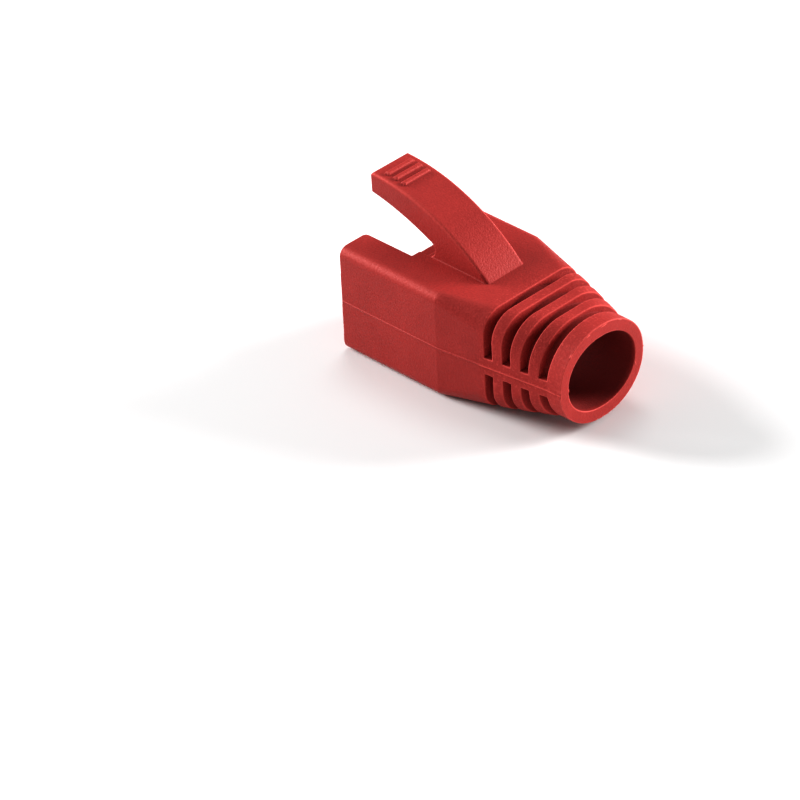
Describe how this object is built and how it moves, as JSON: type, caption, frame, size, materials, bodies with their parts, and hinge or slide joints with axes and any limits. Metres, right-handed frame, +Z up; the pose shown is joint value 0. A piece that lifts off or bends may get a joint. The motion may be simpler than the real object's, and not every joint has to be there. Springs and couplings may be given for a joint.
{
  "type": "rj45 strain relief boot",
  "caption": "Soft moulded boot for a modular plug: box with a slotted roof and an arched latch guard, and a tapering grooved neck that bends with the cable.",
  "frame": {"origin": "middle of the bounding box's footprint, on the flat underside that the boot lies on", "axes": "+X towards the cable end, +Z up towards the latch guard, +Y across; the plug goes in at the -X end"},
  "size_m": [0.0272, 0.0146, 0.0178],
  "materials": {
    "boot": "matt, fine spark-eroded mould texture"
  },
  "bodies": {
    "root": {"boot": "boot"}
  },
  "joints": []
}
